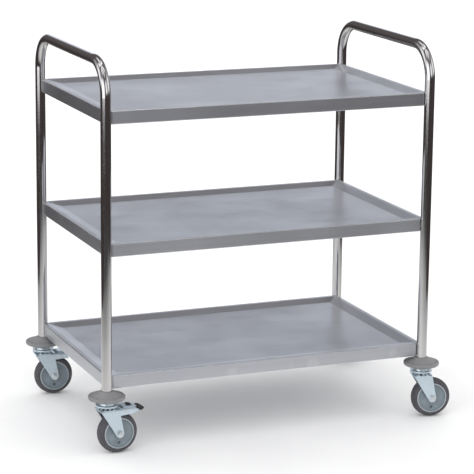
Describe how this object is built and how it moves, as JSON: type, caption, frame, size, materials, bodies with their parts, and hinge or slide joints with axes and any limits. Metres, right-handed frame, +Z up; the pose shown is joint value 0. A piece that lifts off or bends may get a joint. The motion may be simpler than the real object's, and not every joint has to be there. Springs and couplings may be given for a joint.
{
  "type": "food service trolley",
  "caption": "Three-tier food service trolley: flat pressed trays between two bent tube end frames with raised handle bars, on swivel castors with round bumpers and foot brakes.",
  "frame": {"origin": "on the floor, in the middle of the trolley's overall box", "axes": "+Z up, +X along the trolley from the braked end to the other, +Y from the front long side to the rear one"},
  "size_m": [0.9554, 0.599, 0.95],
  "materials": {
    "polished_tube": "polished stainless steel tube",
    "satin_sheet": "satin stainless steel sheet",
    "zinc_pressing": "bright zinc plate on pressed steel",
    "plated_fixings": "zinc plated steel",
    "grey_bumper": "mid grey moulded rubber",
    "grey_plastic": "grey moulded nylon",
    "dark_tyre": "dark grey solid rubber",
    "black_pad": "black moulded plastic"
  },
  "bodies": {
    "frame": {"left_end_frame": "polished_tube", "right_end_frame": "polished_tube", "left_rivet_nuts": "plated_fixings", "right_rivet_nuts": "plated_fixings", "stem_plugs": "plated_fixings", "top_tray": "satin_sheet", "middle_tray": "satin_sheet", "bottom_tray": "satin_sheet", "top_tray_screws": "plated_fixings", "middle_tray_screws": "plated_fixings", "bottom_tray_screws": "plated_fixings", "front_left_bumper": "grey_bumper", "front_left_king_bolt": "plated_fixings", "front_left_top_race": "zinc_pressing", "front_right_bumper": "grey_bumper", "front_right_king_bolt": "plated_fixings", "front_right_top_race": "zinc_pressing", "rear_left_bumper": "grey_bumper", "rear_left_king_bolt": "plated_fixings", "rear_left_top_race": "zinc_pressing", "rear_right_bumper": "grey_bumper", "rear_right_king_bolt": "plated_fixings", "rear_right_top_race": "zinc_pressing"},
    "front_left_castor": {"front_left_fork": "zinc_pressing", "front_left_ball_ring": "plated_fixings", "front_left_axle_bolt": "plated_fixings", "front_left_axle_nut": "plated_fixings", "front_left_axle_sleeve": "plated_fixings", "front_left_brake_pin": "plated_fixings"},
    "front_left_wheel": {"front_left_wheel_centre": "grey_plastic", "front_left_tyre": "dark_tyre"},
    "front_left_brake": {"front_left_brake_lever": "zinc_pressing", "front_left_pedal_pad": "black_pad", "front_left_release_tab": "black_pad"},
    "front_right_castor": {"front_right_fork": "zinc_pressing", "front_right_ball_ring": "plated_fixings", "front_right_axle_bolt": "plated_fixings", "front_right_axle_nut": "plated_fixings", "front_right_axle_sleeve": "plated_fixings"},
    "front_right_wheel": {"front_right_wheel_centre": "grey_plastic", "front_right_tyre": "dark_tyre"},
    "rear_left_castor": {"rear_left_fork": "zinc_pressing", "rear_left_ball_ring": "plated_fixings", "rear_left_axle_bolt": "plated_fixings", "rear_left_axle_nut": "plated_fixings", "rear_left_axle_sleeve": "plated_fixings", "rear_left_brake_pin": "plated_fixings"},
    "rear_left_wheel": {"rear_left_wheel_centre": "grey_plastic", "rear_left_tyre": "dark_tyre"},
    "rear_left_brake": {"rear_left_brake_lever": "zinc_pressing", "rear_left_pedal_pad": "black_pad", "rear_left_release_tab": "black_pad"},
    "rear_right_castor": {"rear_right_fork": "zinc_pressing", "rear_right_ball_ring": "plated_fixings", "rear_right_axle_bolt": "plated_fixings", "rear_right_axle_nut": "plated_fixings", "rear_right_axle_sleeve": "plated_fixings"},
    "rear_right_wheel": {"rear_right_wheel_centre": "grey_plastic", "rear_right_tyre": "dark_tyre"}
  },
  "joints": [
    {"name": "front_left_swivel", "type": "hinge", "parent": "frame", "child": "front_left_castor", "pos_m": [-0.43325, -0.255, 0.112], "axis": [0, 0, 1], "continuous": true},
    {"name": "front_left_wheel_spin", "type": "hinge", "parent": "front_left_castor", "child": "front_left_wheel", "pos_m": [-0.40731, -0.25319, 0.05], "axis": [-0.0698, 0.9976, 0], "continuous": true},
    {"name": "front_left_brake_pedal", "type": "hinge", "parent": "front_left_castor", "child": "front_left_brake", "pos_m": [-0.38936, -0.25193, 0.105], "axis": [-0.0698, 0.9976, 0], "range_deg": [0, 10]},
    {"name": "front_right_swivel", "type": "hinge", "parent": "frame", "child": "front_right_castor", "pos_m": [0.40175, -0.255, 0.112], "axis": [0, 0, 1], "continuous": true},
    {"name": "front_right_wheel_spin", "type": "hinge", "parent": "front_right_castor", "child": "front_right_wheel", "pos_m": [0.42727, -0.25996, 0.05], "axis": [0.1908, 0.9816, 0], "continuous": true},
    {"name": "rear_left_swivel", "type": "hinge", "parent": "frame", "child": "rear_left_castor", "pos_m": [-0.43325, 0.255, 0.112], "axis": [0, 0, 1], "continuous": true},
    {"name": "rear_left_wheel_spin", "type": "hinge", "parent": "rear_left_castor", "child": "rear_left_wheel", "pos_m": [-0.40731, 0.25319, 0.05], "axis": [0.0698, 0.9976, 0], "continuous": true},
    {"name": "rear_left_brake_pedal", "type": "hinge", "parent": "rear_left_castor", "child": "rear_left_brake", "pos_m": [-0.38936, 0.25193, 0.105], "axis": [0.0698, 0.9976, 0], "range_deg": [0, 10]},
    {"name": "rear_right_swivel", "type": "hinge", "parent": "frame", "child": "rear_right_castor", "pos_m": [0.40175, 0.255, 0.112], "axis": [0, 0, 1], "continuous": true},
    {"name": "rear_right_wheel_spin", "type": "hinge", "parent": "rear_right_castor", "child": "rear_right_wheel", "pos_m": [0.42775, 0.255, 0.05], "axis": [0, 1, 0], "continuous": true}
  ]
}
